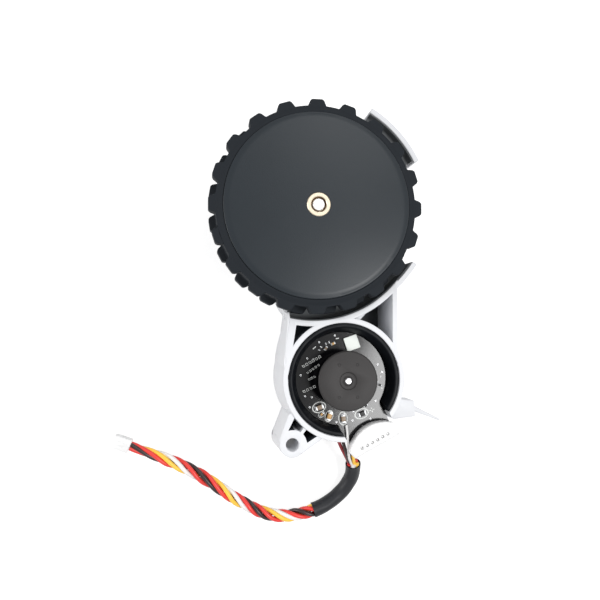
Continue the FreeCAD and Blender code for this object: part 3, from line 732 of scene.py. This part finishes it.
# A closed profile, given as reach and height, spun from the start angle to the end angle
def spunWall(name, centre, size):
    start, end = size["angles"]
    pickNothing()
    bpy.ops.mesh.primitive_circle_add(vertices=len(size["profile"]), fill_type='NGON')
    wall = bpy.context.object
    wall.name = name
    for vertex, (reach, height) in zip(wall.data.vertices, size["profile"]):
        vertex.co = polar(centre, start, reach, height)
    editAll(wall)
    bpy.ops.mesh.spin(steps=size["steps"], angle=math.radians(start - end),
                      center=(*centre, 0), axis=(0, 0, 1))
    bpy.ops.mesh.select_all(action='SELECT')
    bpy.ops.mesh.normals_make_consistent(inside=False)
    editDone()
    print(name, "faces:", len(wall.data.polygons))
    return wall


def makeCupWall():
    wall = spunWall("cupWall", place["motor"], cupWall)
    tall = cupWall["gapSize"][2]
    middle = polar(place["motor"], place["tongueAngle"], cupWall["gapReach"],
                   cupWall["gapFloor"] + tall / 2)
    pickNothing()
    bpy.ops.mesh.primitive_cube_add(size=1.0, location=middle,
                                    rotation=(0, 0, math.radians(place["tongueAngle"])))
    gap = bpy.context.object
    gap.scale = cupWall["gapSize"]
    settle(gap)
    applied(wall, 'BOOLEAN', object=gap, operation='DIFFERENCE', solver='EXACT')
    bpy.data.objects.remove(gap)
    smoothBy(wall)
    dress(wall, "case", "case")


def makeArchEnd():
    wall = spunWall("archEnd", place["wheel"], archEnd)
    for vertex in wall.data.vertices:
        vertex.co = openOut(vertex.co)
    smoothBy(wall)
    dress(wall, "case", "case")


makeCupWall()
makeArchEnd()


# The neck's outer wall, from the arch to the cup, leaning out towards the rear
neckWall = {
    "top": [(-0.0022, 0.0437), (-0.0016, 0.0398), (-0.0023, 0.0350), (-0.0028, 0.0300),
            (-0.0031, 0.0262), (-0.0027, 0.0232)],
    "foot": [(-0.0009, 0.0434), (-0.0006, 0.0396), (-0.0023, 0.0352), (-0.0033, 0.0305),
             (-0.0039, 0.0266), (-0.0036, 0.0232)],
    "levels": [0.0, 0.12, 0.4, 0.75, 0.95, 1.0],
    "footHeight": 0.0003,
    "topHeight": 0.0207,
    "easing": 0.8,
    "thick": 0.0009,
    "fineness": 2,
}


def makeNeckWall():
    rows = []
    for level in neckWall["levels"]:
        share = level ** neckWall["easing"]
        tall = neckWall["topHeight"] - neckWall["footHeight"]
        height = neckWall["footHeight"] + tall * level
        rows.append([(footX + (topX - footX) * share, footY + (topY - footY) * share, height)
                     for (topX, topY), (footX, footY) in zip(neckWall["top"], neckWall["foot"])])
    wall = skinned("neckWall", [row[::-1] for row in rows])
    applied(wall, 'SUBSURF', levels=neckWall["fineness"], render_levels=neckWall["fineness"])
    applied(wall, 'SOLIDIFY', thickness=neckWall["thick"], offset=1.0)
    smoothBy(wall)
    dress(wall, "case", "case")


makeNeckWall()


# Painted shade in the arch channels: dark strips lining floor and wall, the lower one opening with
# archEnd
channel = {
    "floor": 0.01256,
    "thick": 0.0003,
    "steps": 28,
    "fold": 0.0006,
    "foldEnd": (0.0001, 0.0005),
    "strips": {
        "lowerShadeStrip": {"angles": (-103.0, -27.0), "radii": (0.0295, 0.03698), "lip": 0.0203,
                      "opens": True},
        "upperShadeStrip": {"angles": (28.2, 59.4), "radii": (0.0300, 0.04112), "lip": 0.0164,
                      "opens": False},
    },
}


def makeChannelStrip(name, size):
    start, end = size["angles"]
    inner, outer = size["radii"]
    floor = channel["floor"]
    inset, rise = channel["foldEnd"]
    onFloor = [(inner, floor), (outer - channel["fold"], floor)]
    onWall = [(outer - inset, floor + rise), (outer, size["lip"])]
    rows = []
    for i in range(channel["steps"] + 1):
        angle = start + (end - start) * i / channel["steps"]
        row = [polar(place["wheel"], angle, reach, height) for reach, height in onFloor]
        wall = [polar(place["wheel"], angle, reach, height) for reach, height in onWall]
        rows.append(row + ([openOut(spot) for spot in wall] if size["opens"] else wall))
    strip = skinned(name, rows)
    applied(strip, 'SOLIDIFY', thickness=channel["thick"], offset=1.0)
    smoothBy(strip)
    dress(strip, "paintedChannelShade", "case")
    print(name, "laid")


for stripName, stripSize in channel["strips"].items():
    makeChannelStrip(stripName, stripSize)


# Wheel cap: a crowned skin over the hub's face, its rings spaced from the edge to the mouth
wheelCap = {
    "edge": 0.03022,
    "mouth": 0.00392,
    "low": 0.02965,
    "rim": 0.02995,
    "crown": 0.03083,
    "edgeRound": (0.00014, 0.00008),
    "skin": 0.00003,
    "mouthDrop": 0.0003,
    "rings": 14,
    "sides": 128,
}

# Painted shade: a dark ring in the mouth of the brass ring
mouthShade = {
    "inner": 0.00203,
    "outer": 0.0025,
    "top": 0.0297,
    "bottom": 0.02963,
    "sides": 48,
}


def makeCap():
    edge, mouth, rim = wheelCap["edge"], wheelCap["mouth"], wheelCap["rim"]
    inset, drop = wheelCap["edgeRound"]
    rings = [(edge, wheelCap["low"]), (edge, rim - drop)]
    rise = wheelCap["crown"] - rim
    for i in range(wheelCap["rings"]):
        share = i / (wheelCap["rings"] - 1)
        reach = (edge - inset) * (1 - share) + mouth * share
        rings.append((reach, rim + wheelCap["skin"] + rise * (1 - (reach / edge) ** 2)))
    rings.append((mouth, wheelCap["crown"] - wheelCap["mouthDrop"]))
    cap = turnedPiece("capFace", place["wheel"], rings, wheelCap["sides"])
    smoothBy(cap)
    dress(cap, "cap", "wheel")
    print("cap shaped")


def makeMouthShade():
    inner, outer = mouthShade["inner"], mouthShade["outer"]
    top, bottom = mouthShade["top"], mouthShade["bottom"]
    rings = [(inner, top), (outer, top), (outer, bottom), (inner, bottom), (inner, top)]
    shade = turnedPiece("mouthShade", place["wheel"], rings, mouthShade["sides"])
    dress(shade, "paintedMouthShade", "wheel")
    print("mouth shaded")


makeCap()
makeMouthShade()


# Rotor: four faint dimples on the can's roof
dimples = {
    "angles": (60, 120, 240, 300),
    "reach": 0.0061,
    "top": 0.02643,
    "radius": 0.00042,
    "thick": 0.00008,
    "sides": 24,
    "around": 8,
}


def makeDimples():
    marks = []
    for angle in dimples["angles"]:
        spot = polar(place["motor"], angle, dimples["reach"], dimples["top"])
        marks.append(ringMark(spot, dimples["radius"], dimples["thick"], dimples["sides"],
                              dimples["around"]))
    piece = joinAll("rotorDimples", marks)
    smoothBy(piece, "round")
    dress(piece, "rotor", "rotor")
    print("dimples set:", len(marks))


makeDimples()


# A piece of board that fills the flat on its rim, a hair above the board's own top
boardEdge = {
    "angles": (6.0, 72.0),
    "reaches": (0.0095, 0.0157),
    "steps": 24,
    "above": 0.00001,
    "thick": 0.0009,
}

# Chip capacitors and resistors: angle and reach from the motor's middle, turn, finish
boardParts = {
    "capacitorSet": {
        "part": "boardCapacitor",
        "size": (0.0026, 0.0015, 0.0012),
        "slot": "capacitor_tan",
        "node": "board_capacitors",
        "at": [(-129.0, 0.0124, 20.0, "ceramic"), (-109.0, 0.0134, 70.0, "amber"),
               (-88.0, 0.0136, 95.0, "ceramic"), (-60.0, 0.0140, 20.0, "chip")],
    },
    "resistorSet": {
        "part": "boardResistor",
        "size": (0.0013, 0.0008, 0.0005),
        "slot": "chip_black",
        "node": "board_resistors",
        "at": [(104.0, 0.0122, 25.0, "amber"), (112.0, 0.0130, 25.0, "chip"),
               (118.0, 0.0116, 60.0, "ceramic"), (126.0, 0.0126, 60.0, "chip"),
               (-10.0, 0.0136, -30.0, "chip"), (-4.0, 0.0122, -30.0, "ceramic"),
               (-120.0, 0.0139, 50.0, "amber"), (-48.0, 0.0126, 20.0, "chip")],
    },
}

# One small part: body, solder ends and feet, as shares of its length, width and height
partForm = {
    "body": (0.66, 0.94, 0.94),
    "bodyEdge": 0.00008,
    "endLength": 0.18,
    "endAt": 0.41,
    "endEdge": 0.00012,
    "footLength": 0.22,
    "footWidth": 1.1,
    "footThick": 0.00012,
    "footAt": 0.5,
    "footEdge": 0.00004,
}


def makeBoardEdge():
    start, end = boardEdge["angles"]
    height = place["boardTop"] + boardEdge["above"]
    rows = []
    for i in range(boardEdge["steps"] + 1):
        angle = start + (end - start) * i / boardEdge["steps"]
        rows.append([polar(place["motor"], angle, reach, height)
                     for reach in boardEdge["reaches"]])
    edge = skinned("boardEdge", rows)
    applied(edge, 'SOLIDIFY', thickness=boardEdge["thick"], offset=-1.0)
    smoothBy(edge)
    dress(edge, "board", "case")
    print("board edge laid")


def smallPart(name, spot, turn, size, finish):
    length, width, height = size
    bodyLength, bodyWidth, bodyHeight = partForm["body"]
    body = (length * bodyLength, width * bodyWidth, height * bodyHeight)
    end = (length * partForm["endLength"], width, height)
    foot = (length * partForm["footLength"], width * partForm["footWidth"], partForm["footThick"])
    along = Vector((math.cos(math.radians(turn)), math.sin(math.radians(turn)), 0))
    middle = spot + Vector((0, 0, body[2] / 2))
    parts = [block(name, middle, body, turn, partForm["bodyEdge"], finish)]
    for side in (-1, 1):
        at = spot + along * (side * length * partForm["endAt"]) + Vector((0, 0, height / 2))
        parts.append(block(name + "End", at, end, turn, partForm["endEdge"], "solder"))
        at = spot + along * (side * length * partForm["footAt"]) + Vector((0, 0, foot[2] / 2))
        parts.append(block(name + "Foot", at, foot, turn, partForm["footEdge"], "solder"))
    return joinAll(name, parts)


def makeBoardParts():
    for name, kind in boardParts.items():
        parts = []
        for angle, reach, turn, finish in kind["at"]:
            spot = polar(place["motor"], angle, reach, place["boardTop"])
            parts.append(smallPart(kind["part"], spot, turn, kind["size"], finish))
        piece = joinAll(name, parts)
        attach(piece, "case")
        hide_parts(kind["node"])
        print(name, "placed:", len(kind["at"]))


# Ink on the board, each place by its angle and reach from the motor's middle.
# Footprint rows: first place, last place, how many frames, their size
footprints = {
    "rows": [((162.0, 0.0138), (136.0, 0.0106), 6, 0.00052),
             ((170.0, 0.0119), (150.0, 0.0092), 5, 0.0004),
             ((181.0, 0.0112), (176.0, 0.0094), 3, 0.00042),
             ((-162.0, 0.0136), (-164.0, 0.0098), 4, 0.0005)],
    "corners": 4,
    "turn": 45,
    "thick": 0.26,
    "narrow": 0.8,
    "tall": 0.0001,
}

# Ovals round the small parts: angle, reach, turn, half length, half width
ovals = {
    "at": [(-129.0, 0.0124, 20.0, 0.0023, 0.0017), (-109.0, 0.0134, 70.0, 0.0019, 0.0013),
           (-88.0, 0.0136, 95.0, 0.0022, 0.0015), (-60.0, 0.0140, 20.0, 0.0024, 0.0016),
           (-120.0, 0.0139, 50.0, 0.0012, 0.0009)],
    "sides": 32,
    "thick": 0.09,
    "tall": 0.0004,
}

# Short bars: angle, reach, turn, length
bars = {
    "at": [(96.0, 0.0137, 10.0, 0.0011), (-14.0, 0.0147, -20.0, 0.0010),
           (2.0, 0.0138, 80.0, 0.0009), (132.0, 0.0141, 40.0, 0.0013),
           (-45.7, 0.0152, 15.0, 0.0018), (-45.7, 0.0152, 105.0, 0.0018)],
    "width": 0.00032,
    "tall": 0.00005,
    "edge": 0.00001,
}

# Vias: angle and reach
vias = {
    "at": [(150.0, 0.0137), (146.0, 0.0118), (205.0, 0.0139), (211.0, 0.0120),
           (99.0, 0.0148), (122.0, 0.0146), (-97.0, 0.0148), (-75.0, 0.0148),
           (-33.0, 0.0143), (20.0, 0.0136), (8.0, 0.0144), (-22.0, 0.0122),
           (175.0, 0.0142), (-139.0, 0.0146), (-70.0, 0.0120), (-54.0, 0.0172),
           (-66.0, 0.0180)],
    "radius": 0.00025,
    "thick": 0.00009,
    "sides": 16,
}

# Ink and vias lie a hair above the board
inkTop = place["boardTop"] + 0.00003


def footprintRows():
    marks = []
    for (startAngle, startReach), (endAngle, endReach), count, size in footprints["rows"]:
        start = polar(place["motor"], startAngle, startReach, inkTop)
        end = polar(place["motor"], endAngle, endReach, inkTop)
        turn = math.atan2(end.y - start.y, end.x - start.x) + math.radians(footprints["turn"])
        for k in range(count):
            width = size * (1.0 if k % 2 else footprints["narrow"])
            marks.append(ringMark(start.lerp(end, k / (count - 1)), 1.0, footprints["thick"],
                                  footprints["corners"], turn=turn,
                                  size=(width, size, footprints["tall"])))
    return marks


def makeInk():
    marks = footprintRows()
    for angle, reach, turn, longSide, shortSide in ovals["at"]:
        spot = polar(place["motor"], angle, reach, inkTop)
        marks.append(ringMark(spot, 1.0, ovals["thick"], ovals["sides"],
                              turn=math.radians(turn), size=(longSide, shortSide, ovals["tall"])))
    for angle, reach, turn, length in bars["at"]:
        spot = polar(place["motor"], angle, reach, inkTop)
        marks.append(block("inkBar", spot, (length, bars["width"], bars["tall"]), turn,
                           bars["edge"]))
    ink = joinAll("boardInk", marks)
    smoothBy(ink, "round")
    dress(ink, "silk", "case")
    print("board inked, marks:", len(marks))


def makeVias():
    rings = []
    for angle, reach in vias["at"]:
        spot = polar(place["motor"], angle, reach, inkTop)
        rings.append(ringMark(spot, vias["radius"], vias["thick"], vias["sides"]))
    piece = joinAll("boardVias", rings)
    smoothBy(piece, "round")
    dress(piece, "solder", "case")
    print("vias set:", len(rings))


makeBoardEdge()
makeBoardParts()
makeInk()
makeVias()


# Floor, background and lights: each lamp's place, side and watts
studio = {
    "floorSize": 6.0,
    "floorColour": (0.52, 0.52, 0.52, 1.0),
    "floorRough": 0.9,
    "floorGlow": 0.72,
    "white": (1.0, 1.0, 1.0, 1.0),
    "skyLight": 0.44,
    "aim": (0.01, 0.04, 0.015),
    "lamps": [
        ("keySoftbox", (0.15, 0.37, 0.50), 0.26, 0.72),
        ("fillSoftbox", (-0.50, 0.05, 0.24), 0.30, 1.35),
        ("sideGleam", (0.215, -0.045, 0.50), 0.15, 1.5),
    ],
}


# One shader for the light on the object, another for what is seen, mirrored or seen through
def pickBySight(nodes, links, lighting, seen):
    path = nodes.new('ShaderNodeLightPath')
    mirrored = mathNode(nodes, 'MAXIMUM')
    links.new(path.outputs["Is Glossy Ray"], mirrored.inputs[0])
    links.new(path.outputs["Is Transmission Ray"], mirrored.inputs[1])
    either = mathNode(nodes, 'MAXIMUM')
    links.new(path.outputs["Is Camera Ray"], either.inputs[0])
    links.new(mirrored.outputs[0], either.inputs[1])
    pick = nodes.new('ShaderNodeMixShader')
    links.new(either.outputs[0], pick.inputs[0])
    links.new(lighting.outputs[0], pick.inputs[1])
    links.new(seen.outputs[0], pick.inputs[2])
    return pick.outputs[0]


def layFloor():
    pickNothing()
    bpy.ops.mesh.primitive_plane_add(size=studio["floorSize"], location=(0, 0, 0))
    floor = bpy.context.object
    floor.name = "floor"
    settle(floor)
    material = bpy.data.materials.new("paleFloor")
    material.use_nodes = True
    nodes, links = material.node_tree.nodes, material.node_tree.links
    shader = nodes["Principled BSDF"]
    shader.inputs["Base Color"].default_value = studio["floorColour"]
    shader.inputs["Roughness"].default_value = studio["floorRough"]
    shader.inputs["Specular IOR Level"].default_value = 0.0
    glow = nodes.new('ShaderNodeEmission')
    glow.inputs["Strength"].default_value = studio["floorGlow"]
    both = nodes.new('ShaderNodeAddShader')
    links.new(shader.outputs[0], both.inputs[0])
    links.new(glow.outputs[0], both.inputs[1])
    picked = pickBySight(nodes, links, shader, both)
    links.new(picked, nodes["Material Output"].inputs["Surface"])
    floor.data.materials.append(material)
    print("floor laid")


def lightSky():
    world = bpy.data.worlds.new("studioSky")
    bpy.context.scene.world = world
    world.use_nodes = True
    nodes, links = world.node_tree.nodes, world.node_tree.links
    sky = nodes["Background"]
    sky.inputs["Color"].default_value = studio["white"]
    sky.inputs["Strength"].default_value = studio["skyLight"]
    backdrop = nodes.new('ShaderNodeBackground')
    backdrop.inputs["Color"].default_value = studio["white"]
    picked = pickBySight(nodes, links, sky, backdrop)
    links.new(picked, nodes["World Output"].inputs["Surface"])
    print("sky lit")


def hangLamps():
    for name, at, size, power in studio["lamps"]:
        bpy.ops.object.light_add(type='AREA', location=at)
        lamp = bpy.context.object
        lamp.name = name
        lamp.data.shape = 'SQUARE'
        lamp.data.size = size
        lamp.data.energy = power
        aim = Vector(studio["aim"]) - Vector(at)
        lamp.rotation_euler = aim.to_track_quat('-Z', 'Y').to_euler()
    print("lamps hung:", len(studio["lamps"]))


layFloor()
lightSky()
hangLamps()
bpy.context.scene.view_settings.view_transform = 'Standard'
